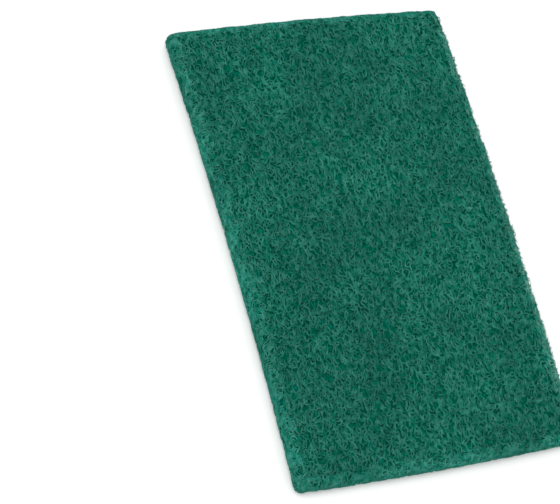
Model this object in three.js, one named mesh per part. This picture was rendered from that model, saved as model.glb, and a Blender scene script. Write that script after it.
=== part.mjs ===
import * as THREE from 'three';

// A household scouring pad: one slab of lofty nonwoven nylon web, bonded with resin and grit,
// then die cut from the roll. Millimetres, +Z up. It lies on a broad face, with the origin at
// the middle of that face, its width along X and its length along Y.

// The cut blank
const PAD_WIDTH = 95;
const PAD_LENGTH = 150;
const PAD_THICKNESS = 8;
const CORNER_RADIUS = 3.5;
const SIDE_BOW = 1.6;
const END_BULGE = 0.8;

// The web springs back from the blade, so its cut edges are round, a little less so underneath
const UPPER_EDGE_ROUND = CORNER_RADIUS;
const LOWER_EDGE_ROUND = 0.85 * CORNER_RADIUS;

// Open hollows between the bundles of fibre, shallower where the blade cut through them
const HOLLOW_SPACING = 6;
const FACE_HOLLOW_DEPTH = 0.4;
const EDGE_HOLLOW_DEPTH = 0.15;

// Broader low places where the web came out thinner
const SWELL_SPACING = 14;
const SWELL_DEPTH = 0.5;

// The unevenness at which a low place begins and at which it is deepest
const LOW_BEGINS = -0.6;
const LOW_DEEPEST = 1.4;

// The unevenness is a sum of waves, whose lengths lie between two shares of its spacing
const WAVES = 32;
const SHORTEST_WAVE = 0.7;
const LONGEST_WAVE = 1.3;

// The mesh that carries the relief
const FACE_STEP = 2.1;
const EDGE_STEPS = 3;
const WALL_STEPS = 1;

const WEB_COLOUR = 0x1d6052;
const WEB_ROUGHNESS = 0.95;

const FULL_TURN = 2 * Math.PI;
const QUARTER_TURN = FULL_TURN / 4;
const GOLDEN_ANGLE = Math.PI * (3 - Math.sqrt(5));

// One wave of the unevenness. The waves' directions lie evenly over a sphere, on a spiral whose
// turns are golden angles, and each wave has its own length and phase.
function wave(number) {
  const height = (2 * number + 1) / WAVES - 1;
  const around = number * GOLDEN_ANGLE;
  const level = Math.sqrt(1 - height * height);
  const share = (number * Math.SQRT2) % 1;
  return {
    direction: new THREE.Vector3(level * Math.cos(around), level * Math.sin(around), height),
    length: THREE.MathUtils.lerp(SHORTEST_WAVE, LONGEST_WAVE, share),
    phase: number * number,
  };
}

const waves = Array.from({ length: WAVES }, (_, number) => wave(number));

// Smooth random height at a point, mostly between -2 and 2, whose bumps are a spacing apart.
function unevenness(point, spacing) {
  const total = waves.reduce((sum, { direction, length, phase }) => {
    return sum + Math.sin((FULL_TURN * point.dot(direction)) / (length * spacing) + phase);
  }, 0);
  return total / Math.sqrt(WAVES / 2);
}

// How far the web lies below the blank's skin at a point, for low places of one spacing and depth.
function lowAt(point, spacing, depth) {
  return depth * THREE.MathUtils.smoothstep(unevenness(point, spacing), LOW_BEGINS, LOW_DEEPEST);
}

// Stations from one side of the blank to the other: at equal turns of the quarter circle over
// each edge's rounding, and at equal steps between them.
function stations(span) {
  const half = span / 2;
  const flatHalf = half - UPPER_EDGE_ROUND;
  const cells = Math.round((2 * flatHalf) / FACE_STEP);
  const rounding = Array.from({ length: EDGE_STEPS }, (_, step) => {
    const turn = (step / EDGE_STEPS) * QUARTER_TURN;
    return flatHalf + UPPER_EDGE_ROUND * Math.cos(turn);
  });
  const flat = Array.from({ length: cells + 1 }, (_, cell) => {
    return THREE.MathUtils.lerp(-flatHalf, flatHalf, cell / cells);
  });
  return [...rounding.map((place) => -place), ...flat, ...rounding.reverse()];
}

// A rectangle's point, moved so that the rectangle's corners become round: a corner's square
// is pressed onto a quarter disc.
function roundCorner(x, y) {
  const coreX = PAD_WIDTH / 2 - CORNER_RADIUS;
  const coreY = PAD_LENGTH / 2 - CORNER_RADIUS;
  const a = Math.max(0, (Math.abs(x) - coreX) / CORNER_RADIUS);
  const b = Math.max(0, (Math.abs(y) - coreY) / CORNER_RADIUS);
  if (a === 0 || b === 0) {
    return new THREE.Vector2(x, y);
  }
  return new THREE.Vector2(
    Math.sign(x) * (coreX + CORNER_RADIUS * a * Math.sqrt(1 - (b * b) / 2)),
    Math.sign(y) * (coreY + CORNER_RADIUS * b * Math.sqrt(1 - (a * a) / 2)),
  );
}

// How far a plan point lies inside the outline, and the outline's outward direction there.
function fromOutline(plan) {
  const overX = Math.abs(plan.x) - (PAD_WIDTH / 2 - CORNER_RADIUS);
  const overY = Math.abs(plan.y) - (PAD_LENGTH / 2 - CORNER_RADIUS);
  const outward = new THREE.Vector2(Math.max(overX, 0), Math.max(overY, 0));
  const reach = outward.length() > 0 ? outward.length() : Math.max(overX, overY);
  if (outward.length() === 0) {
    outward.set(overX >= overY ? 1 : 0, overX >= overY ? 0 : 1);
  }
  outward.set(outward.x * Math.sign(plan.x), outward.y * Math.sign(plan.y)).normalize();
  return { inside: CORNER_RADIUS - reach, outward };
}

// The blank isn't quite true: its long sides bow towards +X and its ends bulge a little.
function cutOutOfTrue(point) {
  const alongX = (2 * point.x) / PAD_WIDTH;
  const alongY = (2 * point.y) / PAD_LENGTH;
  point.x += SIDE_BOW * (0.5 - alongY * alongY);
  point.y -= END_BULGE * alongX * alongX * alongY;
  return point;
}

// A point of the upper face. Over the last stretch before the outline it follows a quarter
// circle down to the wall. The relief sinks it along the surface's own direction, and the web's
// thin places lower it.
function upperPoint(x, y) {
  const plan = roundCorner(x, y);
  const { inside, outward } = fromOutline(plan);
  const lean = THREE.MathUtils.clamp(1 - inside / UPPER_EDGE_ROUND, 0, 1);
  const rise = Math.sqrt(1 - lean * lean);
  const point = new THREE.Vector3(plan.x, plan.y, PAD_THICKNESS - UPPER_EDGE_ROUND * (1 - rise));
  const normal = new THREE.Vector3(outward.x * lean, outward.y * lean, rise);
  const hollowDepth = THREE.MathUtils.lerp(FACE_HOLLOW_DEPTH, EDGE_HOLLOW_DEPTH, lean);
  const hollow = lowAt(point, HOLLOW_SPACING, hollowDepth);
  const swell = lowAt(point, SWELL_SPACING, SWELL_DEPTH) * rise;
  point.addScaledVector(normal, -hollow);
  point.z -= swell;
  return cutOutOfTrue(point);
}

// A point of the cut wall under an edge station of the upper face.
function wallPoint(x, y, height) {
  const plan = roundCorner(x, y);
  const { outward } = fromOutline(plan);
  const point = new THREE.Vector3(plan.x, plan.y, height);
  const normal = new THREE.Vector3(outward.x, outward.y, 0);
  const hollow = lowAt(point, HOLLOW_SPACING, EDGE_HOLLOW_DEPTH);
  return cutOutOfTrue(point.addScaledVector(normal, -hollow));
}

// A point of the lower edge's rounding, from the wall down to the flat underside, where the
// relief has died out.
function lowerPoint(x, y, turn) {
  const plan = roundCorner(x, y);
  const { outward } = fromOutline(plan);
  const wall = new THREE.Vector3(plan.x, plan.y, LOWER_EDGE_ROUND);
  const hollow = lowAt(wall, HOLLOW_SPACING, EDGE_HOLLOW_DEPTH);
  const inset = LOWER_EDGE_ROUND * (1 - Math.cos(turn)) + hollow * Math.cos(turn);
  const point = new THREE.Vector3(
    plan.x - outward.x * inset,
    plan.y - outward.y * inset,
    LOWER_EDGE_ROUND * (1 - Math.sin(turn)),
  );
  return cutOutOfTrue(point);
}

// The two triangles of a patch, whose corners run anticlockwise seen from outside.
function patch(a, b, c, d) {
  return [a, b, c, a, c, d];
}

// The faces of a grid of points that are counted row by row.
function gridFaces(columns, rows) {
  const faces = [];
  for (let row = 0; row + 1 < rows; row += 1) {
    for (let column = 0; column + 1 < columns; column += 1) {
      const corner = row * columns + column;
      faces.push(...patch(corner, corner + 1, corner + columns + 1, corner + columns));
    }
  }
  return faces;
}

// The grid's border, once round, as pairs of column and row, anticlockwise seen from above.
function gridBorder(columns, rows) {
  const right = columns - 1;
  const far = rows - 1;
  const steps = (count) => Array.from({ length: count }, (_, step) => step);
  return [
    ...steps(right).map((step) => [step, 0]),
    ...steps(far).map((step) => [right, step]),
    ...steps(right).map((step) => [right - step, far]),
    ...steps(far).map((step) => [0, far - step]),
  ];
}

// The band of faces between a ring of corners and the ring below it.
function bandFaces(upper, lower) {
  return upper.flatMap((corner, place) => {
    const next = (place + 1) % upper.length;
    return patch(corner, lower[place], lower[next], upper[next]);
  });
}

// The flat underside inside a ring of corners, facing down.
function undersideFaces(ring, points) {
  const outline = ring.map((corner) => new THREE.Vector2(points[corner].x, points[corner].y));
  return THREE.ShapeUtils.triangulateShape(outline, [])
    .flatMap(([a, b, c]) => [ring[a], ring[c], ring[b]]);
}

// The places down the cut edge where a ring of corners goes, each as a function that gives the
// ring's point under a place of the border: the wall, then the lower edge's rounding.
function edgeRings() {
  const wallTop = PAD_THICKNESS - UPPER_EDGE_ROUND;
  const wall = Array.from({ length: WALL_STEPS }, (_, step) => {
    const height = THREE.MathUtils.lerp(wallTop, LOWER_EDGE_ROUND, (step + 1) / WALL_STEPS);
    return (x, y) => wallPoint(x, y, height);
  });
  const rounding = Array.from({ length: EDGE_STEPS }, (_, step) => {
    const turn = ((step + 1) / EDGE_STEPS) * QUARTER_TURN;
    return (x, y) => lowerPoint(x, y, turn);
  });
  return [...wall, ...rounding];
}

// The whole skin as one closed mesh: the upper face on a grid, rings of corners down the cut
// edge under the grid's border, and the flat underside inside the last ring.
function padGeometry() {
  const across = stations(PAD_WIDTH);
  const along = stations(PAD_LENGTH);
  const points = along.flatMap((y) => across.map((x) => upperPoint(x, y)));
  const faces = gridFaces(across.length, along.length);

  const border = gridBorder(across.length, along.length);
  let ring = border.map(([column, row]) => row * across.length + column);
  for (const pointAt of edgeRings()) {
    const lower = border.map((_, place) => points.length + place);
    points.push(...border.map(([column, row]) => pointAt(across[column], along[row])));
    faces.push(...bandFaces(ring, lower));
    ring = lower;
  }
  faces.push(...undersideFaces(ring, points));

  const geometry = new THREE.BufferGeometry().setFromPoints(points);
  geometry.setIndex(faces);
  geometry.computeVertexNormals();
  return geometry;
}

// Grit and resin leave the green nylon dull, with no gloss at all.
function webMaterial() {
  return new THREE.MeshStandardMaterial({ color: WEB_COLOUR, roughness: WEB_ROUGHNESS, metalness: 0 });
}

const pad = new THREE.Mesh(padGeometry(), webMaterial());
pad.name = 'scouring_pad';

const scouringPad = new THREE.Group();
scouringPad.add(pad);

export default scouringPad;
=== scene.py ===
import math

import bpy
import numpy as np
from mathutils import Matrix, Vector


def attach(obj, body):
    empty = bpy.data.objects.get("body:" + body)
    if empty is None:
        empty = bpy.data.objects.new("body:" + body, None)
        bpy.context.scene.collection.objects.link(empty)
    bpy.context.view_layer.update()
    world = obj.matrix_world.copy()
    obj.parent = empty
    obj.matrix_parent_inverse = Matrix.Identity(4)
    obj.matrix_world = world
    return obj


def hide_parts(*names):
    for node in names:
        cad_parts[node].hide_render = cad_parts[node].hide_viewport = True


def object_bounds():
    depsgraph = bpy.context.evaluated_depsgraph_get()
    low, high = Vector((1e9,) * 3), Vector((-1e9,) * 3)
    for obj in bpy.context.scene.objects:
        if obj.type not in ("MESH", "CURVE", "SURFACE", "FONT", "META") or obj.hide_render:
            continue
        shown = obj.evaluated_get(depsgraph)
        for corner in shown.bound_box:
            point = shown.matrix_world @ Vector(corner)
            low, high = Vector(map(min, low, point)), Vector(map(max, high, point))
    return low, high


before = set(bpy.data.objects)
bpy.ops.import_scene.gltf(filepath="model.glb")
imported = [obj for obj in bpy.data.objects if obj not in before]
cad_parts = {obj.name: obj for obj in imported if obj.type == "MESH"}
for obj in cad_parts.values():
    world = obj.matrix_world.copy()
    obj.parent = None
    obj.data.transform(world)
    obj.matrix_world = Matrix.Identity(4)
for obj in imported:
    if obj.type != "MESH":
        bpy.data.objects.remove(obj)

cad_low, cad_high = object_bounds()

# The viewpoint
# A long lens sees the pad's broad face a little from its left and from below. The pad lies, so
# the camera looks down on it, and is rolled so that the pad stands in the picture as if leaning.
MM = 0.001
SENSOR = 36.0
LENS = 157.3
VIEW_AZIMUTH = math.radians(-54.1)
VIEW_ELEVATION = math.radians(58.05)
VIEW_ROLL = math.radians(41.9)
VIEW_DISTANCE = 726.5 * MM
AIM = np.array([-33.15 * MM, -1.95 * MM, cad_high.z])
NEAREST = 0.05
FARTHEST = 20.0

level_right = np.array([math.cos(VIEW_AZIMUTH), math.sin(VIEW_AZIMUTH), 0.0])
backward = np.array([
    math.sin(VIEW_AZIMUTH) * math.cos(VIEW_ELEVATION),
    -math.cos(VIEW_AZIMUTH) * math.cos(VIEW_ELEVATION),
    math.sin(VIEW_ELEVATION),
])
level_up = np.cross(backward, level_right)
picture_right = math.cos(VIEW_ROLL) * level_right + math.sin(VIEW_ROLL) * level_up
picture_up = np.cross(backward, picture_right)

camera = bpy.data.objects.new("camera", bpy.data.cameras.new("camera"))
bpy.context.scene.collection.objects.link(camera)
camera.data.sensor_width = SENSOR
camera.data.lens = LENS
camera.data.clip_start = NEAREST
camera.data.clip_end = FARTHEST
placed = np.eye(4)
placed[:3, 0] = picture_right
placed[:3, 1] = picture_up
placed[:3, 2] = backward
placed[:3, 3] = AIM + VIEW_DISTANCE * backward
camera.matrix_world = placed.T
bpy.context.scene.camera = camera

# The core of the web
# The inside of the pad, with painted shade that makes it dark between the outer fibres: crimped
# nylon staple, laid by air into a mat, sprayed with resin and grit and baked. Its skin is a mat of
# rounded ridges and pores.
SIDE_BOW = 1.6 * MM
END_BULGE = 0.8 * MM
EDGE_ROUND = 3.5 * MM
CORNER_SQUARENESS = 3.0
PAD_WIDTH = cad_high.x - cad_low.x - SIDE_BOW
PAD_LENGTH = cad_high.y - cad_low.y
PAD_THICKNESS = cad_high.z - cad_low.z
FLAT_X = PAD_WIDTH / 2 - EDGE_ROUND
FLAT_Y = PAD_LENGTH / 2 - EDGE_ROUND
ROUND_REACH = EDGE_ROUND * np.pi / 2
WALL_REACH = PAD_THICKNESS / 2 - EDGE_ROUND
SHEET_REACH = ROUND_REACH + WALL_REACH

HOLLOW_SPACING = 6 * MM
FACE_HOLLOW_DEPTH = 0.4 * MM
EDGE_HOLLOW_DEPTH = 0.15 * MM
SWELL_SPACING = 14 * MM
SWELL_DEPTH = 0.5 * MM
LOW_BEGINS = -0.6
LOW_DEEPEST = 1.4
WAVES = 32
SHORTEST_WAVE = 0.7
LONGEST_WAVE = 1.3
GOLDEN_ANGLE = np.pi * (3 - math.sqrt(5))

CORE_DEPTH = 0.9 * MM
WALL_DEPTH = 0.4 * MM
CORE_STEP = 0.9 * MM
RIDGE_SPACING = 2.4 * MM
RIDGE_HEIGHT = 0.4 * MM
RIDGE_WIDTH = 0.55
RIDGE_WAVES = (0.75, 1.35)
FINE_SHARE = 0.6
COARSE_SPACING = 1.5 * RIDGE_SPACING
MAP_MARGIN = 0.01
NEARLY_NOTHING = 1e-9


def unevenness(points, spacing):
    """The smooth random height that the solid has too: the sum of plane waves, whose directions
    lie on a spiral over a sphere and whose lengths lie about one spacing."""
    number = np.arange(WAVES)
    height = (2 * number + 1) / WAVES - 1
    around = number * GOLDEN_ANGLE
    level = np.sqrt(1 - height ** 2)
    direction = np.stack([level * np.cos(around), level * np.sin(around), height])
    share = number * math.sqrt(2) % 1
    length = spacing * (SHORTEST_WAVE + (LONGEST_WAVE - SHORTEST_WAVE) * share)
    waves = np.sin(points @ direction * (2 * np.pi / length) + number ** 2)
    return waves.sum(axis=-1) / math.sqrt(WAVES / 2)


def low_at(points, spacing, depth):
    """How far the web lies below the blank's skin, for low places of one spacing and depth."""
    share = np.clip((unevenness(points, spacing) - LOW_BEGINS) / (LOW_DEEPEST - LOW_BEGINS), 0, 1)
    return depth * share ** 2 * (3 - 2 * share)


def out_of_true(points):
    """The blank as it was really cut: its long sides bow towards +X and its ends bulge."""
    along_x = 2 * points[..., 0] / PAD_WIDTH
    along_y = 2 * points[..., 1] / PAD_LENGTH
    points = points.copy()
    points[..., 0] += SIDE_BOW * (0.5 - along_y ** 2)
    points[..., 1] -= END_BULGE * along_x ** 2 * along_y
    return points


def under_skin(x, y, out_x, out_y, reach, depth, side):
    """Places at a depth under the pad's skin, and the skin's outward directions. Each place lies
    a reach down round the edge from the nearest place x, y of the flat part: along a quarter
    circle at first and then straight down to the middle of the thickness. In plan the corners
    are superellipses, a little squarer than round."""
    turn = np.minimum(reach, ROUND_REACH) / EDGE_ROUND
    drop = np.maximum(reach - ROUND_REACH, 0)
    outward = np.stack(np.broadcast_arrays(out_x * np.sin(turn), out_y * np.sin(turn),
                                           side * np.cos(turn)), -1)
    squarer = np.abs(out_x) ** CORNER_SQUARENESS + np.abs(out_y) ** CORNER_SQUARENESS
    spread = np.maximum(squarer, NEARLY_NOTHING) ** (-1 / CORNER_SQUARENESS)
    offset = outward * np.stack(np.broadcast_arrays(spread, spread, 1.0), -1)
    middle = np.stack(np.broadcast_arrays(x, y, PAD_THICKNESS / 2 + side * (WALL_REACH - drop)), -1)
    skin = middle + EDGE_ROUND * offset
    rise = np.cos(turn)
    upper = side > 0
    low = low_at(skin, HOLLOW_SPACING, 1.0) * (EDGE_HOLLOW_DEPTH * (1 - rise ** 2)
                                               + upper * FACE_HOLLOW_DEPTH * rise ** 2)
    low = low + upper * rise ** 2 * low_at(skin, SWELL_SPACING, SWELL_DEPTH)
    return out_of_true(middle + (EDGE_ROUND - depth - low)[..., None] * offset), outward


def on_sheet(u, v, depth, side):
    """Places at a depth under one half of the skin, for places on a flat sheet that is laid on
    the pad and folded down over its edges. A place past the sheet's border is turned back."""
    x = np.clip(u, -FLAT_X, FLAT_X)
    y = np.clip(v, -FLAT_Y, FLAT_Y)
    beyond = np.hypot(u - x, v - y)
    out_x = (u - x) / np.maximum(beyond, NEARLY_NOTHING)
    out_y = (v - y) / np.maximum(beyond, NEARLY_NOTHING)
    reach = SHEET_REACH - np.abs(SHEET_REACH - beyond)
    return under_skin(x, y, out_x, out_y, reach, depth, side)


def ridges(points, spacing, seed):
    """From 0 in a pore to 1 on a strand: highest where a smooth random field passes through
    nought, so that the strands run in curls. The field is a sum of waves in random directions."""
    rng = np.random.default_rng(seed)
    direction = rng.normal(size=(3, WAVES))
    direction /= np.linalg.norm(direction, axis=0)
    length = spacing * rng.uniform(*RIDGE_WAVES, WAVES)
    waves = np.sin(points @ direction * (2 * np.pi / length) + rng.uniform(0, 2 * np.pi, WAVES))
    return np.exp(-(waves.sum(axis=-1) / math.sqrt(WAVES / 2) / RIDGE_WIDTH) ** 2)


def add_mesh(name, points, quads, triangles=None):
    """A mesh from whole arrays of places and of corner numbers."""
    mesh = bpy.data.meshes.new(name)
    triangles = np.zeros((0, 3), int) if triangles is None else triangles
    corners = np.concatenate([quads.ravel(), triangles.ravel()])
    starts = np.concatenate([np.arange(len(quads)) * 4,
                             len(quads) * 4 + np.arange(len(triangles)) * 3])
    mesh.vertices.add(len(points))
    mesh.vertices.foreach_set("co", points.astype(np.float32).ravel())
    mesh.loops.add(len(corners))
    mesh.loops.foreach_set("vertex_index", corners.astype(np.int32))
    mesh.polygons.add(len(starts))
    mesh.polygons.foreach_set("loop_start", starts.astype(np.int32))
    mesh.polygons.foreach_set("use_smooth", np.ones(len(starts), bool))
    mesh.update(calc_edges=True)
    mesh.validate()
    piece = bpy.data.objects.new(name, mesh)
    bpy.context.scene.collection.objects.link(piece)
    return piece


def add_map(piece, places):
    """The piece's own map, one place for each face corner."""
    layer = piece.data.uv_layers.new(name="OFBake")
    layer.data.foreach_set("uv", places.astype(np.float32).ravel())


def pressed_corners(u, v, half_u, half_v):
    """A rectangle's places with its corners made round: each corner's square is pressed onto a
    quarter disc."""
    a = np.clip((np.abs(u) - half_u) / SHEET_REACH + 1, 0, None)
    b = np.clip((np.abs(v) - half_v) / SHEET_REACH + 1, 0, None)
    corner = (a > 0) & (b > 0)
    round_u = np.sign(u) * (half_u + SHEET_REACH * (a * np.sqrt(1 - b * b / 2) - 1))
    round_v = np.sign(v) * (half_v + SHEET_REACH * (b * np.sqrt(1 - a * a / 2) - 1))
    return np.where(corner, round_u, u), np.where(corner, round_v, v)


sheet_u = FLAT_X + SHEET_REACH
sheet_v = FLAT_Y + SHEET_REACH
columns = 2 * round(sheet_u / CORE_STEP) + 1
rows = 2 * round(sheet_v / CORE_STEP) + 1
grid_u, grid_v = pressed_corners(*np.meshgrid(np.linspace(-sheet_u, sheet_u, columns),
                                              np.linspace(-sheet_v, sheet_v, rows)),
                                 sheet_u, sheet_v)


def core_half(side):
    """The upper or the lower half of the core's skin, on the grid of the folded sheet."""
    skin, outward = on_sheet(grid_u, grid_v, 0 * grid_u, side)
    fine = ridges(skin, RIDGE_SPACING, seed=11)
    coarse = ridges(skin, COARSE_SPACING, seed=12)
    strands = FINE_SHARE * fine + (1 - FINE_SHARE) * coarse
    level = WALL_DEPTH + (CORE_DEPTH - WALL_DEPTH) * np.abs(outward[..., 2])
    return on_sheet(grid_u, grid_v, level + RIDGE_HEIGHT * (0.5 - strands), side)[0].reshape(-1, 3)


def grid_quads(number):
    """The four corners of each cell of a grid of places, anticlockwise as the grid is counted."""
    corners = [number[:-1, :-1], number[:-1, 1:], number[1:, 1:], number[1:, :-1]]
    return np.stack(corners, -1).reshape(-1, 4)


# The two halves share the ring of places at the middle of the thickness. The lower half's cells
# face down, so their corners run the other way.
CLOCKWISE = [0, 3, 2, 1]
number = np.arange(rows * columns).reshape(rows, columns)
inner = np.zeros((rows, columns), bool)
inner[1:-1, 1:-1] = True
lower_number = number.copy()
lower_number[inner] = rows * columns + np.arange(inner.sum())
upper_quads = grid_quads(number)
lower_quads = grid_quads(lower_number)[:, CLOCKWISE]
core = add_mesh("web_core", np.concatenate([core_half(1), core_half(-1)[inner.ravel()]]),
                np.concatenate([upper_quads, lower_quads]))

# Two patches of the map: the upper half on the left and the lower half on the right.
map_u = MAP_MARGIN + (0.5 - 2 * MAP_MARGIN) * np.arange(columns) / (columns - 1)
map_v = MAP_MARGIN + (1 - 2 * MAP_MARGIN) * np.arange(rows) / (rows - 1)
grid_map = np.stack(np.meshgrid(map_u, map_v), -1).reshape(-1, 2)
add_map(core, np.concatenate([grid_map[upper_quads].reshape(-1, 2),
                              grid_map[upper_quads[:, CLOCKWISE]].reshape(-1, 2) + [0.5, 0]]))


def srgb(colour):
    """A linear colour with alpha from an sRGB hex value."""
    share = [int(colour[place:place + 2], 16) / 255 for place in (1, 3, 5)]
    return [s / 12.92 if s <= 0.04045 else ((s + 0.055) / 1.055) ** 2.4 for s in share] + [1.0]


def add_node(tree, kind, settings=None, **links):
    """One shader node with its settings. A link names an input, or numbers it after an underscore,
    and gives the output or the value that goes into it."""
    node = tree.nodes.new(kind)
    for setting, value in (settings or {}).items():
        setattr(node, setting, value)
    for name, value in links.items():
        place = int(name[1:]) if name[0] == "_" else name.replace("_", " ")
        socket = node.inputs[place]
        if isinstance(value, bpy.types.NodeSocket):
            tree.links.new(value, socket)
        else:
            socket.default_value = value
    return node


def new_material(name):
    """An empty node material and its output node."""
    material = bpy.data.materials.new(name)
    material.use_nodes = True
    material.node_tree.nodes.clear()
    return material, add_node(material.node_tree, "ShaderNodeOutputMaterial")


# Resin-bonded nylon, deep in the mat: the same green as outside, painted darker for the shade that
# falls deep among the fibres, and with no gloss, so that the pores read as dark. The paler strands
# lie about 2.4 mm apart, as the ridges do; the darker places between them are painted shade.
STRAND_SCALE = 420.0
material, output = new_material("bonded_nylon_core_painted_shade")
tree = material.node_tree
places = add_node(tree, "ShaderNodeTexCoord")
curled = add_node(tree, "ShaderNodeTexNoise",
                  {"noise_type": "RIDGED_MULTIFRACTAL", "normalize": False},
                  Vector=places.outputs["Object"], Scale=STRAND_SCALE, Detail=1.0, Offset=1.0,
                  Gain=1.6)
strands = add_node(tree, "ShaderNodeMapRange", {"clamp": True}, Value=curled.outputs["Fac"],
                   From_Min=0.9, From_Max=1.8, To_Min=0.0, To_Max=1.0)
# The dark end of this mix is painted shade in the pores.
green = add_node(tree, "ShaderNodeMix", {"data_type": "RGBA"}, _0=strands.outputs["Result"],
                 _6=srgb("#004C3B"), _7=srgb("#007460"))
shader = add_node(tree, "ShaderNodeBsdfPrincipled", Base_Color=green.outputs[2], Roughness=0.9,
                  Specular_IOR_Level=0.0)
tree.links.new(shader.outputs[0], output.inputs["Surface"])
core.data.materials.append(material)

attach(core, "root")
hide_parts("scouring_pad")

# The fibres of the skin
# Crimped nylon staple with a coat of resin and grit, nearly flat in curls of a millimetre or
# two. A real fibre is about a fifth of a millimetre thick; it is drawn thicker, to show.
FIBRE_POINTS = 14
FIBRE_STEP = 0.55 * MM
FIBRE_RADIUS = 0.36 * MM
THICKNESSES = (0.75, 1.25)
EDGE_SLIMNESS = 0.65
SIDES = 3
END_TAPER = 0.45
TAPER_POWER = 6

# Radians a millimetre, radians and millimetres. A phase is a full turn or a little over.
STEADY_TURN = 0.45
SWAYS = (0.7, 1.6)
SWAY_LENGTHS = (2.0, 4.5)
DIVE_LENGTHS = (3.0, 6.5)
DIVE_DEPTHS = (0.1, 0.3)
PHASES = (0, 6.3)
CARDED = 1.15

# The places in a fibre's cell of the map that its sides and its two caps take.
SIDES_PLACE = np.array([0.04, 0.05])
SIDES_REACH = np.array([0.8, 0.9])
CAPS_PLACES = np.array([[[0.86, 0.05], [0.96, 0.05], [0.86, 0.45]],
                        [[0.86, 0.55], [0.96, 0.55], [0.86, 0.95]]])


def curls(rng, count):
    """Flat centrelines: the heading turns at a steady rate plus a slow wave, and the place is the
    running sum of the steps along it. The web is carded, so they are drawn out along the roll."""
    travel = np.arange(FIBRE_POINTS) * FIBRE_STEP
    steady = rng.normal(0, STEADY_TURN, (count, 1)) / MM
    sway = rng.uniform(*SWAYS, (count, 1))
    length = rng.uniform(*SWAY_LENGTHS, (count, 1)) * MM
    heading = (rng.uniform(0, 2 * np.pi, (count, 1)) + steady * travel
               + sway * np.sin(2 * np.pi * travel / length + rng.uniform(*PHASES, (count, 1))))
    u = np.cumsum(np.cos(heading), axis=1) * FIBRE_STEP / CARDED
    v = np.cumsum(np.sin(heading), axis=1) * FIBRE_STEP * CARDED
    return u - u.mean(1, keepdims=True), v - v.mean(1, keepdims=True)


def dive(rng, thickness, shallow, deep):
    """Depth along each fibre below the blank's skin: its own level plus a wave under and over
    its neighbours. Nowhere does the fibre come out of the skin."""
    count = len(thickness)
    travel = np.arange(FIBRE_POINTS) * FIBRE_STEP
    level = rng.uniform(shallow, deep, (count, 1))
    length = rng.uniform(*DIVE_LENGTHS, (count, 1)) * MM
    wave = np.sin(2 * np.pi * travel / length + rng.uniform(*PHASES, (count, 1)))
    return np.maximum(level + rng.uniform(*DIVE_DEPTHS, (count, 1)) * MM * wave, thickness)


def tubes(name, centre, outward, thickness):
    """Three-sided tubes along centrelines, one ridge outwards, slimmer at both ends. Each fibre
    has a cell of its own in the piece's map."""
    count, points = centre.shape[:2]
    tangent = np.gradient(centre, axis=1)
    tangent /= np.linalg.norm(tangent, axis=-1, keepdims=True)
    across = np.cross(tangent, outward)
    across /= np.linalg.norm(across, axis=-1, keepdims=True)
    lift = np.cross(across, tangent)
    taper = 1 - END_TAPER * np.abs(np.linspace(-1, 1, points)) ** TAPER_POWER
    radius = (thickness * taper)[..., None, None]
    turn = np.radians(90 + 360 / SIDES * np.arange(SIDES))[:, None]
    rim = (centre[:, :, None] + radius * (np.cos(turn) * across[:, :, None]
                                          + np.sin(turn) * lift[:, :, None]))
    number = np.arange(count * points * SIDES).reshape(count, points, SIDES)
    after = np.roll(number, -1, axis=2)
    quads = np.stack([number[:, :-1], after[:, :-1], after[:, 1:], number[:, 1:]], -1)
    caps = np.stack([number[:, 0, ::-1], number[:, -1]], 1)
    piece = add_mesh(name, rim.reshape(-1, 3), quads.reshape(-1, 4), caps.reshape(-1, 3))

    cells = math.ceil(math.sqrt(count))
    corner = np.stack([np.arange(count) % cells, np.arange(count) // cells], -1) / cells
    step_u, step_v = SIDES_REACH / [points - 1, SIDES]
    along = step_u * (np.arange(points - 1)[:, None, None] + np.array([0, 0, 1, 1]))
    around = step_v * (np.arange(SIDES)[None, :, None] + np.array([0, 1, 1, 0]))
    quad_map = SIDES_PLACE + np.stack(np.broadcast_arrays(along, around), -1)
    add_map(piece, np.concatenate([
        (corner[:, None, None, None] + quad_map[None] / cells).reshape(-1, 2),
        (corner[:, None, None] + CAPS_PLACES[None] / cells).reshape(-1, 2)]))
    return piece


def tint(piece, values):
    """A shade from 0 to 1 for each fibre, kept on the faces of its sides and on its two caps."""
    layer = piece.data.attributes.new("tint", "FLOAT", "FACE")
    sides = len(piece.data.polygons) // len(values) - 2
    shades = np.concatenate([np.repeat(values, sides), np.repeat(values, 2)])
    layer.data.foreach_set("value", shades.astype(np.float32))


# Nylon with a coat of resin and grit: a dull green fibre, paler and greyer in patches, where the
# colour is partly the pale grit and partly a painted sheen, so each fibre shows as a row of pale
# and deep places. Some took the dye better. Real grit is a tenth of a millimetre; its patches, with
# their painted sheen, are drawn about 1.3 mm across the roll and 1.8 mm along it, to show. The
# broad mottle of the dye is about 20 mm across.
GRIT_SCALES = (780.0, 560.0, 780.0)
MOTTLE_SCALE = 50.0


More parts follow.
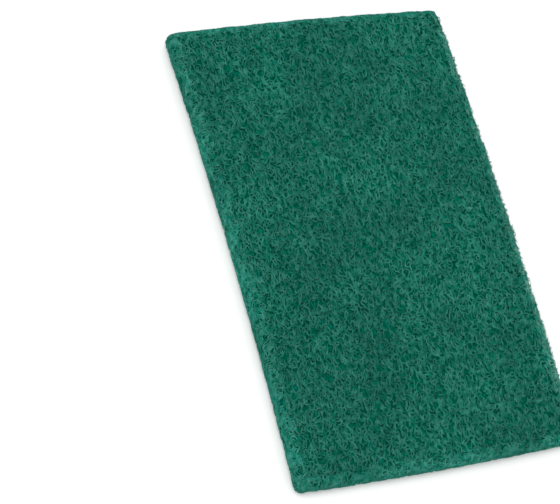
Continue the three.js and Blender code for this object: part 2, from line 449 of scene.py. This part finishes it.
def coated_nylon(name, deep, clean, grit_and_sheen):
    """Deep and clean are the two ends of the dye's range, and the third colour is that of pale grit
    and of a painted sheen, mixed in by patches.
    """
    material, output = new_material(name)
    tree = material.node_tree
    places = add_node(tree, "ShaderNodeTexCoord")
    shade = add_node(tree, "ShaderNodeAttribute", {"attribute_name": "tint"})
    carded = add_node(tree, "ShaderNodeMapping", Vector=places.outputs["Object"],
                      Scale=GRIT_SCALES)
    grit = add_node(tree, "ShaderNodeTexNoise", Vector=carded.outputs["Vector"], Scale=1.0,
                    Detail=0.0)
    grit_and_sheen_share = add_node(tree, "ShaderNodeMapRange", {"clamp": True}, Value=grit.outputs["Fac"],
                      From_Min=0.22, From_Max=0.82, To_Min=0.0, To_Max=1.0)
    dyed = add_node(tree, "ShaderNodeMix", {"data_type": "RGBA"}, _0=shade.outputs["Fac"],
                    _6=srgb(deep), _7=srgb(clean))
    # The patches mix in the pale third colour: partly grit, partly painted sheen.
    green = add_node(tree, "ShaderNodeMix", {"data_type": "RGBA"}, _0=grit_and_sheen_share.outputs["Result"],
                     _6=dyed.outputs[2], _7=srgb(grit_and_sheen))
    broad = add_node(tree, "ShaderNodeTexNoise", Vector=places.outputs["Object"],
                     Scale=MOTTLE_SCALE, Detail=4.0, Roughness=0.65)
    mottle = add_node(tree, "ShaderNodeMapRange", {"clamp": True}, Value=broad.outputs["Fac"],
                      From_Min=0.25, From_Max=0.75, To_Min=0.72, To_Max=1.28)
    mottled = add_node(tree, "ShaderNodeHueSaturation", Color=green.outputs[2],
                       Value=mottle.outputs["Result"])
    shader = add_node(tree, "ShaderNodeBsdfPrincipled", Base_Color=mottled.outputs["Color"],
                      Roughness=0.6, Specular_IOR_Level=0.06)
    tree.links.new(shader.outputs[0], output.inputs["Surface"])
    return material


face_nylon = coated_nylon("resin_coated_nylon_painted_sheen", "#005A48", "#006A57", "#357E6F")


def skin_layer(name, seed, across, along, side, shallow, deep):
    """One layer of fibres over one half of the skin, between two depths below it. They are spread
    evenly: one fibre at a random place of each cell of the sheet."""
    rng = np.random.default_rng(seed)
    count = across * along
    u, v = curls(rng, count)
    cell = np.arange(count)[:, None]
    u += ((cell % across + rng.uniform(0, 1, (count, 1))) / across * 2 - 1) * sheet_u
    v += ((cell // across + rng.uniform(0, 1, (count, 1))) / along * 2 - 1) * sheet_v
    thickness = FIBRE_RADIUS * rng.uniform(*THICKNESSES, (count, 1))
    depth = dive(rng, thickness, shallow, deep)
    flat = np.abs(on_sheet(u, v, depth, side)[1][..., 2])
    thickness = thickness * (EDGE_SLIMNESS + (1 - EDGE_SLIMNESS) * flat)
    centre, outward = on_sheet(u, v, thickness + flat * (depth - thickness), side)
    piece = tubes(name, centre, outward, thickness)
    tint(piece, rng.uniform(0, 1, count))
    piece.data.materials.append(face_nylon)
    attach(piece, "root")


skin_layer("upper_web_deep_fibres", seed=24, across=39, along=62, side=1,
           shallow=0.7 * MM, deep=1.1 * MM)
skin_layer("upper_web_middle_fibres", seed=21, across=39, along=62, side=1,
           shallow=0.55 * MM, deep=0.9 * MM)
skin_layer("upper_web_outer_fibres", seed=22, across=39, along=62, side=1,
           shallow=0.4 * MM, deep=0.7 * MM)
skin_layer("lower_web_fibres", seed=23, across=33, along=54, side=-1,
           shallow=0.5 * MM, deep=0.9 * MM)

# The fibres of the cut edges
# The blade that cut the blank from the roll left the fibres short here and pressed them
# together, so the edge shows as a closer band, with few pores. Its fibres are also painted paler
# than the face's: painted light on the edge band.
EDGE_FIBRES = 1900
EDGE_BAND = 5.0 * MM
EDGE_THICKNESSES = (0.6, 0.95)
# The edge's tints lean to the clean end, for the painted light on the band.
EDGE_PAINTED_LIGHT_TINTS = (0.3, 1)
ARC_STEPS = 12

# The pad's outline, once round from the right side: at each station, the nearest corner of the
# flat part and the outward direction, and the distance travelled to it.
quarter = np.linspace(0, np.pi / 2, ARC_STEPS)
arc_turns = np.concatenate([quarter + corner * np.pi / 2 for corner in range(4)] + [[0]])
path_out = np.stack([np.cos(arc_turns), np.sin(arc_turns)], -1)
corner_signs = np.array([[1, 1], [-1, 1], [-1, -1], [1, -1], [1, 1]])
path_flat = np.repeat(corner_signs, [ARC_STEPS] * 4 + [1], axis=0) * [FLAT_X, FLAT_Y]
path_steps = np.linalg.norm(np.diff(path_flat + EDGE_ROUND * path_out, axis=0), axis=1)
path_travelled = np.concatenate([[0], np.cumsum(path_steps)])


def on_rim(around, down, depth):
    """Places at a depth under the skin of the cut edge, at a distance round the outline and a
    distance down from the middle of the thickness. A place that would lie on the flat part is
    turned back."""
    x, y, out_x, out_y = [np.interp(around % path_travelled[-1], path_travelled, column)
                          for column in (*path_flat.T, *path_out.T)]
    side = np.where(down > 0, -1.0, 1.0)
    reach = np.abs(SHEET_REACH - np.abs(down))
    return under_skin(x, y, out_x, out_y, reach, depth, side)


rng = np.random.default_rng(31)
around, down = curls(rng, EDGE_FIBRES)
around += rng.uniform(0, path_travelled[-1], (EDGE_FIBRES, 1))
down += rng.uniform(-EDGE_BAND, EDGE_BAND, (EDGE_FIBRES, 1))
thickness = FIBRE_RADIUS * rng.uniform(*EDGE_THICKNESSES, (EDGE_FIBRES, 1))
depth = dive(rng, thickness, shallow=0.1 * MM, deep=0.35 * MM)
centre, outward = on_rim(around, down, depth)
edge = tubes("cut_edge_fibres", centre, outward, thickness)
tint(edge, rng.uniform(*EDGE_PAINTED_LIGHT_TINTS, EDGE_FIBRES))
# Colours paler than the face's: painted light on the cut edge.
edge.data.materials.append(coated_nylon("cut_nylon_painted_light", "#006250", "#007562", "#408D7E"))
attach(edge, "root")

# The loose ends
# Broken fibre ends that stand a little way out of the pad's right side, most of them near the
# corner where the blade came out of the web. Their resin is gone, so the bare nylon shows pale.
LOOSE_ENDS = 900
CROWDING = 1.5
END_POINTS = 6
END_RADIUS = 0.13 * MM
END_THICKNESSES = (0.7, 1.2)
END_LIFT = 0.8 * MM
END_LIFTS = (0.1, 1)

rng = np.random.default_rng(41)
around, down = [way[:, :END_POINTS] for way in curls(rng, LOOSE_ENDS)]
right_side = path_travelled[-1] - path_travelled[-2]
start = path_travelled[-2] + right_side * rng.uniform(0, 1, (LOOSE_ENDS, 1)) ** CROWDING
down = down + rng.uniform(-EDGE_BAND, 0, (LOOSE_ENDS, 1))
above_wall = WALL_REACH - np.abs(WALL_REACH - down)
lift = END_LIFT * rng.uniform(*END_LIFTS, (LOOSE_ENDS, 1)) * np.linspace(0, 1, END_POINTS) ** 2
centre, outward = on_rim(around + start, above_wall, END_RADIUS - lift)
thickness = END_RADIUS * rng.uniform(*END_THICKNESSES, (LOOSE_ENDS, 1))
ends = tubes("loose_fibre_ends", centre, outward, thickness)
tint(ends, rng.uniform(0, 1, LOOSE_ENDS))
ends.data.materials.append(coated_nylon("bare_nylon", "#217060", "#378573", "#6CA697"))
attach(ends, "root")

# The table and the light
# A plain white table under a wide soft light from above, as in a small studio.
FLOOR_HALF = 3.0
floor_corners = FLOOR_HALF * np.array([[-1, -1, 0], [1, -1, 0], [1, 1, 0], [-1, 1, 0]])
floor = add_mesh("table", floor_corners, np.array([[0, 1, 2, 3]]))
material, output = new_material("white_laminate")
tree = material.node_tree
shader = add_node(tree, "ShaderNodeBsdfPrincipled", Base_Color=srgb("#F7F7F7"), Roughness=0.9,
                  Specular_IOR_Level=0.1)
tree.links.new(shader.outputs[0], output.inputs["Surface"])
floor.data.materials.append(material)

SKY_STRENGTH = 0.9
world = bpy.data.worlds.new("studio")
world.use_nodes = True
sky = world.node_tree.nodes["Background"]
sky.inputs["Color"].default_value = (1.0, 1.0, 1.0, 1.0)
sky.inputs["Strength"].default_value = SKY_STRENGTH
bpy.context.scene.world = world

KEY_SIZE = 0.8
KEY_POWER = 8.0
KEY_PLACE = np.array([-0.55, -0.15, 1.1])
key = bpy.data.objects.new("key", bpy.data.lights.new("key", "AREA"))
key.data.shape = "DISK"
key.data.size = KEY_SIZE
key.data.energy = KEY_POWER
bpy.context.scene.collection.objects.link(key)
towards = -KEY_PLACE / np.linalg.norm(KEY_PLACE)
side_way = np.cross(towards, [0, 0, 1])
side_way /= np.linalg.norm(side_way)
stand = np.eye(4)
stand[:3, 0] = side_way
stand[:3, 1] = np.cross(side_way, towards)
stand[:3, 2] = -towards
stand[:3, 3] = KEY_PLACE
key.matrix_world = stand.T

bpy.context.scene.view_settings.view_transform = "Standard"
